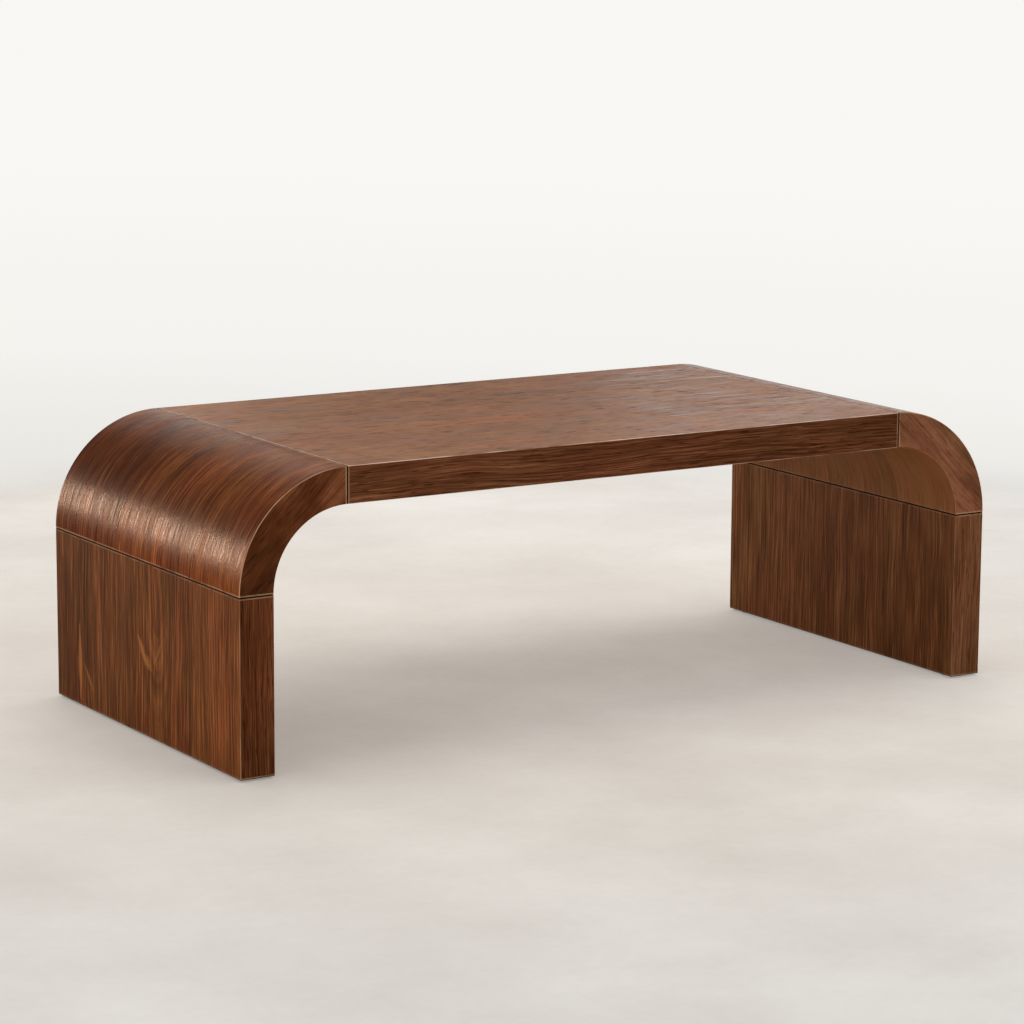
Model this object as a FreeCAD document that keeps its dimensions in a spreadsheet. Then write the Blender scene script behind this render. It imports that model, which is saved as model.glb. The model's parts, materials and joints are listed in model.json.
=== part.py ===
import FreeCAD, Part
import math
import os

import Sketcher
from FreeCAD import Placement, Rotation, Vector

# Waterfall coffee table: a flat top that runs into two legs through quarter-round corners.
# It is built from five hollow veneered panels. Each has two thin skins on a hidden core frame
# and is closed at the front and the back by a lipping. Where two panels meet, bevels on both
# of them make a V-groove. Millimetres; +Z is up, X runs along the table, the front faces -Y,
# and the origin is on the floor under the table's centre.

SIZES = {
    # the whole table
    "table_length": 1300,  # over the outer faces of the legs
    "table_depth": 600,  # front to back
    "table_height": 430,  # floor to top face
    "panel_thickness": 54,  # the same in the top, the corners and the legs
    "corner_radius": 170,  # outer face of a corner
    # skins and lippings
    "skin_thickness": 6,
    "lipping_thickness": 6,  # front to back
    "arris_bevel": 1.5,  # on the long edges of the lippings
    "seam_bevel": 1.5,  # half the width of a V-groove
    # core frames
    "end_block_width": 100,  # the top's blocks beside the corners
    "long_rail_width": 40,  # the top's rails behind its lippings
    "rib_thickness": 18,
    "cross_rib_count": 6,
    "seam_block_angle": 20,  # how far a corner's block reaches round from its seam, degrees
    "corner_rib_count": 4,
    "leg_rail_width": 45,
    "stile_width": 40,
    "stile_count": 4,
    # plywood tongues across each seam
    "tongue_thickness": 9,
    "tongue_width": 30,  # half of it in each panel
    "tongue_inset": 30,  # tongue's end to the front or back of the table
    "tongue_offset": 12,  # from mid-thickness towards the outer face, to clear the bolts
    "tongue_play": 0.1,  # to each face and end of the groove
    "bore_relief": 1,  # spare depth past a tongue, bolt or screw
    # bolts that hold each end on the top
    "bolt_diameter": 8,
    "bolt_length": 50,
    "bolt_head_width": 13,  # across the flats
    "bolt_head_height": 5.3,
    "bolt_count": 2,
    "bolt_inset": 100,  # bolt to the front or back of the table
    "bolt_play": 0.5,  # all round the shank in its plain hole
    "washer_diameter": 20,
    "washer_thickness": 1.6,
    "insert_diameter": 12,
    "insert_length": 20,
    "thread_gap": 0.05,  # all round a shank or an insert that screws in
    "pocket_wall": 25,  # wood between the access pocket and the seam
    "pocket_length": 60,
    "pocket_width": 34,
    "pocket_clearance": 3,  # pocket floor to the washer
    # glides under the legs
    "glide_diameter": 40,
    "glide_height": 3,
    "glide_rim_draft": 0.8,  # how much narrower a glide is at the floor, all round
    "glide_count": 2,  # under each leg
    "glide_inset": 30,  # glide's centre to the front or back of the table
    # blunt countersunk screws that hold the glides
    "screw_diameter": 4,
    "screw_length": 25,
    "screw_head_diameter": 8,
    "screw_play": 0.2,  # all round the screw in its glide
    "screw_recess": 0.4,  # screw head above the floor
}

CUT_MARGIN = 1.0  # how far a cutting profile runs past the faces that it cuts
TINY = 1e-6
BODIES = {}

doc = FreeCAD.newDocument("waterfall_table")
sheet = doc.addObject("Spreadsheet::Sheet", "sizes")


class Size(float):
    """A number that also carries the spreadsheet expression it is worked out from."""

    def __new__(cls, value, text):
        size = super().__new__(cls, value)
        size.text = text
        return size

    def __add__(self, other):
        return Size(float(self) + float(other), f"({self.text} + {text_of(other)})")

    def __sub__(self, other):
        return Size(float(self) - float(other), f"({self.text} - {text_of(other)})")

    def __mul__(self, other):
        return Size(float(self) * float(other), f"({self.text} * {text_of(other)})")

    def __truediv__(self, other):
        return Size(float(self) / float(other), f"({self.text} / {text_of(other)})")

    def __neg__(self):
        return Size(-float(self), f"(-1 * {self.text})")

    __radd__ = __add__
    __rmul__ = __mul__

    def __rsub__(self, other):
        return -self + other


def text_of(number):
    return getattr(number, "text", f"({float(number):.12g})")


def fill_sheet():
    """Write every driving dimension to the sheet, and hand back each one as a Size."""
    sizes = {}
    for line, (alias, value) in enumerate(SIZES.items(), start=1):
        sheet.set(f"A{line}", alias)
        sheet.set(f"B{line}", str(value))
        sheet.setAlias(f"B{line}", alias)
        sizes[alias] = Size(value, f"sizes.{alias}")
    doc.recompute()
    return sizes


# ---- sketches and features ----------------------------------------------------------------


def new_body(label):
    body = doc.addObject("PartDesign::Body", label)
    body.Label = label
    body.AllowCompound = True
    BODIES[label] = body
    return body


def origin_part(body, role):
    return next(part for part in body.Origin.OriginFeatures if part.Role == role)


def new_sketch(body, name, plane):
    sketch = body.newObject("Sketcher::SketchObject", name)
    sketch.AttachmentSupport = [(origin_part(body, plane), "")]
    sketch.MapMode = "FlatFace"
    return sketch


def pin_point(sketch, geometry, point, x, y):
    """Fix one point of a sketch at x, y from the sketch's origin, bound to the sheet."""
    for kind, size in (("DistanceX", x), ("DistanceY", y)):
        index = sketch.addConstraint(Sketcher.Constraint(kind, -1, 1, geometry, point, float(size)))
        if isinstance(size, Size):
            sketch.setExpression(f"Constraints[{index}]", size.text)


def add_polygon(sketch, corners):
    lines = []
    for start, end in zip(corners, corners[1:] + corners[:1]):
        line = Part.LineSegment(Vector(*map(float, start), 0), Vector(*map(float, end), 0))
        lines.append(sketch.addGeometry(line, False))
    for line, following in zip(lines, lines[1:] + lines[:1]):
        sketch.addConstraint(Sketcher.Constraint("Coincident", line, 2, following, 1))
    for line, (x, y) in zip(lines, corners):
        pin_point(sketch, line, 1, x, y)


def add_rectangle(sketch, x0, x1, y0, y1):
    add_polygon(sketch, [(x0, y0), (x1, y0), (x1, y1), (x0, y1)])


def add_circle(sketch, x, y, radius):
    circle = Part.Circle(Vector(float(x), float(y), 0), Vector(0, 0, 1), float(radius))
    geometry = sketch.addGeometry(circle, False)
    pin_point(sketch, geometry, 3, x, y)
    index = sketch.addConstraint(Sketcher.Constraint("Radius", geometry, float(radius)))
    sketch.setExpression(f"Constraints[{index}]", radius.text)


def add_feature(body, kind, sketch, **bound):
    """Add a sketch-based feature, and bind its named properties to the sheet."""
    feature = body.newObject(f"PartDesign::{kind}", f"{body.Name}_{kind}")
    feature.Profile = (sketch, [""])
    for name, size in bound.items():
        feature.setExpression(name, size.text)
    return feature


def pad(body, sketch, length, symmetric=False, backwards=False):
    feature = add_feature(body, "Pad", sketch, Length=length)
    if symmetric:
        feature.SideType = "Symmetric"
    feature.Reversed = backwards
    doc.recompute()
    return feature


def pocket(body, sketch, depth=None, backwards=False):
    """Cut to a depth, or right through both ways where no depth is given."""
    before = body.Shape.Volume
    if depth is None:
        feature = add_feature(body, "Pocket", sketch)
        feature.Type = "ThroughAll"
        feature.SideType = "Symmetric"
    else:
        feature = add_feature(body, "Pocket", sketch, Length=depth)
        feature.Reversed = backwards
    doc.recompute()
    if body.Shape.Volume > before - TINY:
        raise RuntimeError(f"{feature.Name} cuts nothing")
    return feature


def revolve(body, sketch, angle, backwards=False):
    """Turn a profile about the sketch's vertical axis, from +X towards +Z unless backwards."""
    feature = add_feature(body, "Revolution", sketch, Angle=angle)
    feature.ReferenceAxis = (sketch, ["V_Axis"])
    feature.Reversed = not backwards
    doc.recompute()
    return feature


def repeat(body, features, axis, span, count):
    """Repeat features along an axis, from their own place to span further on."""
    pattern = body.newObject("PartDesign::LinearPattern", f"{body.Name}_pattern")
    pattern.Originals = features
    pattern.Direction = (origin_part(body, axis), [""])
    pattern.setExpression("Length", span.text)
    pattern.setExpression("Occurrences", count.text)
    body.Tip = pattern
    doc.recompute()
    return pattern


def ease_edges(body, size, wanted):
    """Chamfer the edges of the body that the test picks out."""
    base = body.Tip
    names = [f"Edge{i}" for i, edge in enumerate(base.Shape.Edges, start=1) if wanted(edge)]
    if not names:
        raise RuntimeError(f"{body.Label} has no edge to ease")
    feature = body.newObject("PartDesign::Chamfer", f"{body.Name}_Chamfer")
    feature.Base = (base, names)
    feature.setExpression("Size", size.text)
    doc.recompute()


def put(body, x=None, y=None, z=None, turn=None):
    """Place a body: turned about -Y by an angle in degrees, its origin moved to x, y, z."""
    if turn is not None:
        body.Placement = Placement(Vector(), Rotation(Vector(0, -1, 0), float(turn)))
        if isinstance(turn, Size):
            body.setExpression("Placement.Rotation.Angle", turn.text)
    for name, size in (("x", x), ("y", y), ("z", z)):
        if size is not None:
            body.setExpression(f"Placement.Base.{name}", size.text)


def turn_round(body):
    """Turn a body half round about Z, to face the other end of the table."""
    body.Placement = Placement(Vector(), Rotation(Vector(0, 0, 1), 180))


def is_circle(edge):
    return edge.Curve.TypeId == "Part::GeomCircle"


def all_at(edge, axis, place):
    return all(abs(getattr(vertex.Point, axis) - place) < TINY for vertex in edge.Vertexes)


def runs_along(edge, axis):
    if is_circle(edge):
        return False
    direction = edge.Vertexes[-1].Point - edge.Vertexes[0].Point
    return abs(abs(getattr(direction, axis)) - direction.Length) < TINY


S = fill_sheet()

# ---- places that several pieces share -------------------------------------------------------

DEPTH = S["table_depth"]
THICK = S["panel_thickness"]
RADIUS = S["corner_radius"]
SKIN = S["skin_thickness"]
BEVEL = S["seam_bevel"]
CORE_EDGE = DEPTH / 2 - S["lipping_thickness"]  # half the depth between the lippings
CORE_LOW = SKIN  # the core's inner and outer faces, from a panel's inner face
CORE_HIGH = THICK - SKIN
MIDDLE = THICK / 2
TONGUE_HEIGHT = MIDDLE + S["tongue_offset"]  # above a panel's inner face
INNER_RADIUS = RADIUS - THICK
MID_RADIUS = RADIUS - MIDDLE

SEAM_X = S["table_length"] / 2 - RADIUS  # top to corner, and the corners' centres
SEAM_Z = S["table_height"] - RADIUS  # corner to leg, and the corners' centres
TOP_LENGTH = SEAM_X * 2
TOP_UNDERSIDE = S["table_height"] - THICK
LEG_LENGTH = SEAM_Z - S["glide_height"]
LEG_MIDDLE_Z = S["glide_height"] + LEG_LENGTH / 2
LEG_INSIDE_X = S["table_length"] / 2 - THICK
LEG_MIDDLE_X = S["table_length"] / 2 - MIDDLE

TONGUE_REACH = DEPTH / 2 - S["tongue_inset"]  # from the table's middle to a tongue's end
TONGUE_HALF = S["tongue_thickness"] / 2
GROOVE_REACH = TONGUE_REACH + S["tongue_play"]
GROOVE_HALF = TONGUE_HALF + S["tongue_play"]
GROOVE_DEPTH = S["tongue_width"] / 2 + S["bore_relief"]
BOLT_SPAN = DEPTH - S["bolt_inset"] * 2
BOLT_RADIUS = S["bolt_diameter"] / 2
BOLT_REACH = S["bolt_length"] - S["washer_thickness"] - S["pocket_wall"]  # past the seam
INSERT_BORE = S["insert_diameter"] / 2 + S["thread_gap"]
POCKET_TOP = MIDDLE + S["washer_diameter"] / 2 + S["pocket_clearance"]
GLIDE_SPAN = DEPTH - S["glide_inset"] * 2
SCREW_RADIUS = S["screw_diameter"] / 2
SCREW_HEAD_RADIUS = S["screw_head_diameter"] / 2

# Each corner turns through a quarter circle about its centre. Angles go from +X up to +Z.
QUARTER = Size(90, "90")
FULL_TURN = Size(360, "360")
END_SIDES = {"left": -1, "right": 1}
CORNER_TURN = {"left": 90, "right": 0}  # where a corner's quarter circle starts
EDGE_SIDES = {"front": -1, "back": 1}


def bevel_profile(p, q, into_p, into_q):
    """Triangle that bevels the corner p, q of a section that lies on the into_ side of it."""
    reach = BEVEL + CUT_MARGIN
    return [
        (p - CUT_MARGIN * into_p, q + reach * into_q),
        (p + reach * into_p, q - CUT_MARGIN * into_q),
        (p - CUT_MARGIN * into_p, q - CUT_MARGIN * into_q),
    ]


def cut_bevels(body, name, plane, corners):
    sketch = new_sketch(body, name, plane)
    for corner in corners:
        add_polygon(sketch, bevel_profile(*corner))
    pocket(body, sketch)


# ---- flat panels: the top and the legs --------------------------------------------------------
# Local frame: x along the panel from its middle, y along the table's depth, z from the inner
# face of the panel to its outer face.


def place_panel(body, panel):
    if panel == "top":
        put(body, z=TOP_UNDERSIDE)
    elif panel == "left_leg":
        put(body, x=-LEG_INSIDE_X, z=LEG_MIDDLE_Z, turn=90)
    else:
        put(body, x=LEG_INSIDE_X, z=LEG_MIDDLE_Z, turn=-90)


def flat_skin(label, panel, length, outer):
    """One face of a flat panel, bevelled at both ends on its visible side."""
    low, high, face, inward = (CORE_HIGH, THICK, THICK, -1) if outer else (0, CORE_LOW, 0, 1)
    body = new_body(label)
    section = new_sketch(body, f"{label}_section", "YZ_Plane")
    add_rectangle(section, -CORE_EDGE, CORE_EDGE, low, high)
    pad(body, section, length, symmetric=True)
    ends = [(length / 2 * end, face, -end, inward) for end in (-1, 1)]
    cut_bevels(body, f"{label}_end_bevels", "XZ_Plane", ends)
    place_panel(body, panel)
    return body


def flat_lipping(label, panel, length, side):
    """Front or back edge of a flat panel, with eased arrises and bevelled ends."""
    face = DEPTH / 2 * side
    body = new_body(label)
    section = new_sketch(body, f"{label}_section", "YZ_Plane")
    add_rectangle(section, CORE_EDGE * side, face, 0, THICK)
    pad(body, section, length, symmetric=True)
    ease_edges(body, S["arris_bevel"],
               lambda edge: runs_along(edge, "x") and all_at(edge, "y", face))
    ends = [(length / 2 * end, -end) for end in (-1, 1)]
    side_view = [(x, z, into_x, into_z) for x, into_x in ends for z, into_z in ((0, 1), (THICK, -1))]
    cut_bevels(body, f"{label}_side_bevels", "XZ_Plane", side_view)
    plan_view = [(x, face, into_x, -side) for x, into_x in ends]
    cut_bevels(body, f"{label}_plan_bevels", "XY_Plane", plan_view)
    place_panel(body, panel)


def flat_core(label, panel, x0, x1, y0, y1):
    """A rail, stile or rib between the skins of a flat panel."""
    body = new_body(label)
    outline = new_sketch(body, f"{label}_outline", "XY_Plane")
    add_rectangle(outline, x0, x1, y0, y1)
    outline.AttachmentOffset = Placement(Vector(0, 0, float(CORE_LOW)), Rotation())
    outline.setExpression("AttachmentOffset.Base.z", CORE_LOW.text)
    pad(body, outline, CORE_HIGH - CORE_LOW)
    place_panel(body, panel)
    return body


def make_top():
    flat_skin("top_upper_skin", "top", TOP_LENGTH, outer=True)
    lower = flat_skin("top_lower_skin", "top", TOP_LENGTH, outer=False)
    openings = new_sketch(lower, "pocket_openings", "XY_Plane")
    pocket_far = TOP_LENGTH / 2 - S["pocket_wall"]
    pocket_near = pocket_far - S["pocket_length"]
    pocket_back = S["pocket_width"] / 2 - BOLT_SPAN / 2
    pocket_front = pocket_back - S["pocket_width"]
    add_rectangle(openings, pocket_near, pocket_far, pocket_front, pocket_back)
    add_rectangle(openings, -pocket_far, -pocket_near, pocket_front, pocket_back)
    repeat(lower, [pocket(lower, openings)], "Y_Axis", BOLT_SPAN, S["bolt_count"])

    rail_end = TOP_LENGTH / 2 - S["end_block_width"]
    rail_inside = CORE_EDGE - S["long_rail_width"]
    for name, side in EDGE_SIDES.items():
        flat_lipping(f"top_{name}_lipping", "top", TOP_LENGTH, side)
        flat_core(f"top_{name}_rail", "top", -rail_end, rail_end,
                  rail_inside * side, CORE_EDGE * side)
    for name, side in END_SIDES.items():
        top_end_block(f"top_{name}_end_block", side)

    # cross ribs stand at even spacing between the end blocks and fill the gap between the rails
    bay = (rail_end * 2 - S["rib_thickness"] * S["cross_rib_count"]) / (S["cross_rib_count"] + 1)
    first = bay - rail_end
    ribs = flat_core("top_cross_ribs", "top", first, first + S["rib_thickness"],
                     -rail_inside, rail_inside)
    span = (bay + S["rib_thickness"]) * (S["cross_rib_count"] - 1)
    repeat(ribs, [ribs.Tip], "X_Axis", span, S["cross_rib_count"])


def top_end_block(label, side):
    """Solid block that takes the tongue and bolts of one seam. Local x=0 is the seam's face."""
    body = new_body(label)
    outline = new_sketch(body, f"{label}_outline", "XZ_Plane")
    add_rectangle(outline, -S["end_block_width"], 0, CORE_LOW, CORE_HIGH)
    pad(body, outline, CORE_EDGE * 2, symmetric=True)

    groove = new_sketch(body, f"{label}_groove", "YZ_Plane")
    add_rectangle(groove, -GROOVE_REACH, GROOVE_REACH,
                  TONGUE_HEIGHT - GROOVE_HALF, TONGUE_HEIGHT + GROOVE_HALF)
    pocket(body, groove, GROOVE_DEPTH)

    access = new_sketch(body, f"{label}_access", "XY_Plane")
    wall = -S["pocket_wall"]
    front = -(BOLT_SPAN + S["pocket_width"]) / 2
    add_rectangle(access, wall - S["pocket_length"], wall, front, front + S["pocket_width"])
    cut = pocket(body, access, POCKET_TOP, backwards=True)
    repeat(body, [cut], "Y_Axis", BOLT_SPAN, S["bolt_count"])

    bolt_hole = new_sketch(body, f"{label}_bolt_hole", "YZ_Plane")
    add_circle(bolt_hole, -BOLT_SPAN / 2, MIDDLE, BOLT_RADIUS + S["bolt_play"])
    hole = pocket(body, bolt_hole, S["pocket_wall"] + CUT_MARGIN)
    repeat(body, [hole], "Y_Axis", BOLT_SPAN, S["bolt_count"])

    if side < 0:
        turn_round(body)
    put(body, x=SEAM_X * side, z=TOP_UNDERSIDE)


def make_leg(end):
    """One leg: skins, lippings, and a core of an upper rail, a foot rail and stiles."""
    panel = f"{end}_leg"
    up = -END_SIDES[end]  # the way up along local x
    flat_skin(f"{panel}_outer_skin", panel, LEG_LENGTH, outer=True)
    flat_skin(f"{panel}_inner_skin", panel, LEG_LENGTH, outer=False)
    for name, side in EDGE_SIDES.items():
        flat_lipping(f"{panel}_{name}_lipping", panel, LEG_LENGTH, side)

    rail_outside = LEG_LENGTH / 2
    rail_inside = rail_outside - S["leg_rail_width"]
    upper = flat_core(f"{panel}_upper_rail", panel, rail_inside * up, rail_outside * up,
                      -CORE_EDGE, CORE_EDGE)
    groove = rail_end_sketch(upper, rail_outside * up)
    add_rectangle(groove, -GROOVE_REACH, GROOVE_REACH,
                  TONGUE_HEIGHT - GROOVE_HALF, TONGUE_HEIGHT + GROOVE_HALF)
    pocket(upper, groove, GROOVE_DEPTH, backwards=up < 0)
    foot = flat_core(f"{panel}_foot_rail", panel, -rail_outside * up, -rail_inside * up,
                     -CORE_EDGE, CORE_EDGE)
    screw_depth = S["screw_length"] + S["screw_recess"] - S["glide_height"] + S["bore_relief"]
    screw_bore = rail_end_sketch(foot, -rail_outside * up)
    add_circle(screw_bore, -GLIDE_SPAN / 2, MIDDLE, SCREW_RADIUS + S["thread_gap"])
    bore = pocket(foot, screw_bore, screw_depth, backwards=up > 0)
    repeat(foot, [bore], "Y_Axis", GLIDE_SPAN, S["glide_count"])

    stiles = flat_core(f"{panel}_stiles", panel, -rail_inside, rail_inside,
                       -CORE_EDGE, S["stile_width"] - CORE_EDGE)
    repeat(stiles, [stiles.Tip], "Y_Axis", CORE_EDGE * 2 - S["stile_width"], S["stile_count"])


def rail_end_sketch(rail, face):
    """A sketch on the end face of a leg's rail, at local x=face."""
    sketch = new_sketch(rail, f"{rail.Name}_end", "YZ_Plane")
    sketch.AttachmentOffset = Placement(Vector(0, 0, float(face)), Rotation())
    sketch.setExpression("AttachmentOffset.Base.z", face.text)
    return sketch


# ---- bent corners -----------------------------------------------------------------------------
# Local frame: the corner's centre line is the local Y axis, and a piece sweeps from local +X
# towards local +Z. The two seams of a whole corner are then the planes z=0 and x=0.


def place_corner(body, end, turn):
    put(body, x=SEAM_X * END_SIDES[end], z=SEAM_Z, turn=turn)


def bent_skin(label, end, outer):
    """Curved face of a corner, bent ply, bevelled at both seams on its visible side."""
    edge, low, high, inward = (
        (RADIUS, RADIUS - SKIN, RADIUS, -1) if outer
        else (INNER_RADIUS, INNER_RADIUS, INNER_RADIUS + SKIN, 1)
    )
    body = new_body(label)
    section = new_sketch(body, f"{label}_section", "XY_Plane")
    add_rectangle(section, low, high, -CORE_EDGE, CORE_EDGE)
    revolve(body, section, QUARTER)
    seams = [(edge, 0, inward, 1), (0, edge, 1, inward)]
    cut_bevels(body, f"{label}_seam_bevels", "XZ_Plane", seams)
    place_corner(body, end, CORNER_TURN[end])


def corner_cheek(label, end, side):
    """Arc-shaped lipping of a corner, with eased arrises and bevelled ends."""
    face = DEPTH / 2 * side
    body = new_body(label)
    section = new_sketch(body, f"{label}_section", "XY_Plane")
    add_rectangle(section, INNER_RADIUS, RADIUS, CORE_EDGE * side, face)
    revolve(body, section, QUARTER)
    ease_edges(body, S["arris_bevel"], lambda edge: is_circle(edge) and all_at(edge, "y", face))
    side_view = [
        corner
        for edge, inward in ((RADIUS, -1), (INNER_RADIUS, 1))
        for corner in ((edge, 0, inward, 1), (0, edge, 1, inward))
    ]
    cut_bevels(body, f"{label}_side_bevels", "XZ_Plane", side_view)
    cut_bevels(body, f"{label}_low_bevel", "YZ_Plane", [(face, 0, -side, 1)])
    cut_bevels(body, f"{label}_high_bevel", "XY_Plane", [(0, face, 1, -side)])
    place_corner(body, end, CORNER_TURN[end])


def seam_block(label, end, seam_angle, onward):
    """Block behind a corner's seam, a slice of the arc that takes the tongue of that seam.

    seam_angle is where the seam lies round the corner's centre, and onward says whether the
    block reaches from it towards higher angles.
    """
    body = new_body(label)
    section = new_sketch(body, f"{label}_section", "XY_Plane")
    add_rectangle(section, INNER_RADIUS + SKIN, RADIUS - SKIN, -CORE_EDGE, CORE_EDGE)
    revolve(body, section, S["seam_block_angle"], backwards=not onward)
    groove = new_sketch(body, f"{label}_groove", "XY_Plane")
    groove_radius = INNER_RADIUS + TONGUE_HEIGHT
    add_rectangle(groove, groove_radius - GROOVE_HALF, groove_radius + GROOVE_HALF,
                  -GROOVE_REACH, GROOVE_REACH)
    pocket(body, groove, GROOVE_DEPTH, backwards=onward)
    place_corner(body, end, seam_angle)
    return body


def make_corner(end):
    prefix = f"{end}_corner"
    bent_skin(f"{prefix}_outer_skin", end, outer=True)
    bent_skin(f"{prefix}_inner_skin", end, outer=False)
    for name, side in EDGE_SIDES.items():
        corner_cheek(f"{prefix}_{name}_cheek", end, side)

    leg_seam_angle = 180 if end == "left" else 0
    seam_block(f"{prefix}_leg_block", end, leg_seam_angle, onward=end == "right")
    top = seam_block(f"{prefix}_top_block", end, 90, onward=end == "left")
    insert_bore = new_sketch(top, f"{prefix}_insert_bore", "XY_Plane")
    add_circle(insert_bore, MID_RADIUS, -BOLT_SPAN / 2, INSERT_BORE)
    cut = pocket(top, insert_bore, BOLT_REACH + S["bore_relief"], backwards=end == "left")
    repeat(top, [cut], "Y_Axis", BOLT_SPAN, S["bolt_count"])

    # rib formers fill the arc between the two blocks and carry both bent skins
    ribs = new_body(f"{prefix}_ribs")
    section = new_sketch(ribs, f"{prefix}_rib_section", "XY_Plane")
    add_rectangle(section, INNER_RADIUS + SKIN, RADIUS - SKIN,
                  -CORE_EDGE, S["rib_thickness"] - CORE_EDGE)
    rib = revolve(ribs, section, QUARTER - S["seam_block_angle"] * 2)
    span = CORE_EDGE * 2 - S["rib_thickness"]
    repeat(ribs, [rib], "Y_Axis", span, S["corner_rib_count"])
    place_corner(ribs, end, S["seam_block_angle"] + CORNER_TURN[end])


# ---- tongues, bolts and glides ----------------------------------------------------------------


def make_tongue(label, x, z, upright):
    """Plywood tongue that lies half in each panel of a seam, centred on x, z."""
    body = new_body(label)
    outline = new_sketch(body, f"{label}_outline", "XZ_Plane")
    across, along = TONGUE_HALF, S["tongue_width"] / 2
    half_x, half_z = (across, along) if upright else (along, across)
    add_rectangle(outline, -half_x, half_x, -half_z, half_z)
    pad(body, outline, TONGUE_REACH * 2, symmetric=True)
    put(body, x=x, z=z)


def add_hexagon(sketch, x, y, across_flats):
    corner = across_flats / math.sqrt(3)
    angles = [math.radians(60 * k) for k in range(6)]
    add_polygon(sketch, [(x + corner * math.cos(a), corner * math.sin(a) + y) for a in angles])


def make_bolts(end):
    """Hexagon-head bolts that reach from the top's pockets into the corner.

    Local x=0 is under the head, and the bolt points along local +X.
    """
    body = new_body(f"{end}_joint_bolts")
    first = -BOLT_SPAN / 2
    head_sketch = new_sketch(body, f"{end}_bolt_head", "YZ_Plane")
    add_hexagon(head_sketch, first, 0, S["bolt_head_width"])
    head = pad(body, head_sketch, S["bolt_head_height"], backwards=True)
    shank_sketch = new_sketch(body, f"{end}_bolt_shank", "YZ_Plane")
    add_circle(shank_sketch, first, 0, BOLT_RADIUS)
    shank = pad(body, shank_sketch, S["bolt_length"])
    repeat(body, [head, shank], "Y_Axis", BOLT_SPAN, S["bolt_count"])
    place_on_bolts(body, end, SEAM_X - S["pocket_wall"] - S["washer_thickness"])


def make_rings(label, end, outer, inner, length, distance):
    """A row of plain rings, one on each bolt. Local x=0 is their face nearer the bolt's head."""
    body = new_body(label)
    sketch = new_sketch(body, f"{label}_section", "YZ_Plane")
    for radius in (outer, inner):
        add_circle(sketch, -BOLT_SPAN / 2, 0, radius)
    repeat(body, [pad(body, sketch, length)], "Y_Axis", BOLT_SPAN, S["bolt_count"])
    place_on_bolts(body, end, distance)


def place_on_bolts(body, end, distance):
    """Put a row on the bolts' line, at a distance from the table's middle towards one end."""
    if end == "left":
        turn_round(body)
    put(body, x=distance * END_SIDES[end], z=TOP_UNDERSIDE + MIDDLE)


def make_glides(end):
    """Round nylon glides under a leg, each countersunk for the screw that holds it."""
    body = new_body(f"{end}_leg_glides")
    hole = SCREW_RADIUS + S["screw_play"]
    rim = S["glide_diameter"] / 2
    mouth = SCREW_HEAD_RADIUS + S["screw_play"] + S["screw_recess"]
    profile = new_sketch(body, f"{end}_glide_profile", "XZ_Plane")
    add_polygon(profile, [(mouth, 0), (rim - S["glide_rim_draft"], 0), (rim, S["glide_height"]),
                          (hole, S["glide_height"]), (hole, mouth - hole)])
    repeat(body, [revolve(body, profile, FULL_TURN)], "Y_Axis", GLIDE_SPAN, S["glide_count"])
    put(body, x=LEG_MIDDLE_X * END_SIDES[end], y=-GLIDE_SPAN / 2)


def make_glide_screws(end):
    """Countersunk screws that stand in the foot rail, heads just clear of the floor."""
    body = new_body(f"{end}_glide_screws")
    head = S["screw_recess"]
    tip = head + S["screw_length"]
    profile = new_sketch(body, f"{end}_screw_profile", "XZ_Plane")
    add_polygon(profile, [(0, head), (SCREW_HEAD_RADIUS, head),
                          (SCREW_RADIUS, head + SCREW_HEAD_RADIUS - SCREW_RADIUS),
                          (SCREW_RADIUS, tip), (0, tip)])
    repeat(body, [revolve(body, profile, FULL_TURN)], "Y_Axis", GLIDE_SPAN, S["glide_count"])
    put(body, x=LEG_MIDDLE_X * END_SIDES[end], y=-GLIDE_SPAN / 2)


def make_hardware(end):
    side = END_SIDES[end]
    make_tongue(f"{end}_top_tongue", SEAM_X * side, TOP_UNDERSIDE + TONGUE_HEIGHT, upright=False)
    tongue_x = (LEG_INSIDE_X + TONGUE_HEIGHT) * side
    make_tongue(f"{end}_leg_tongue", tongue_x, SEAM_Z, upright=True)
    make_bolts(end)
    make_rings(f"{end}_joint_washers", end, S["washer_diameter"] / 2, BOLT_RADIUS + S["bolt_play"],
               S["washer_thickness"], SEAM_X - S["pocket_wall"] - S["washer_thickness"])
    make_rings(f"{end}_thread_inserts", end, S["insert_diameter"] / 2,
               BOLT_RADIUS + S["thread_gap"], S["insert_length"], SEAM_X)
    make_glides(end)
    make_glide_screws(end)


# ---- the whole table --------------------------------------------------------------------------


def check_document():
    """Stop if any object failed to compute or any piece isn't a sound solid."""
    for item in doc.Objects:
        if {"Invalid", "Error"} & set(item.State):
            raise RuntimeError(f"{item.Name} is {item.State}")
    for label, body in BODIES.items():
        if body.Shape.isNull() or not body.Shape.isValid() or not body.Shape.Solids:
            raise RuntimeError(f"{label} has no valid solid")


def export_pieces():
    os.makedirs("parts", exist_ok=True)
    for label, body in BODIES.items():
        body.Shape.exportStep(f"parts/{label}.step")


make_top()
for table_end in END_SIDES:
    make_corner(table_end)
    make_leg(table_end)
    make_hardware(table_end)
doc.recompute()
check_document()
export_pieces()
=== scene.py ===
# Looks of the waterfall coffee table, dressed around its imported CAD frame.
# Metres, +Z up; X runs along the table and the front faces -Y.
import json
import math

import bmesh
import bpy
from mathutils import Matrix, Vector


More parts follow.
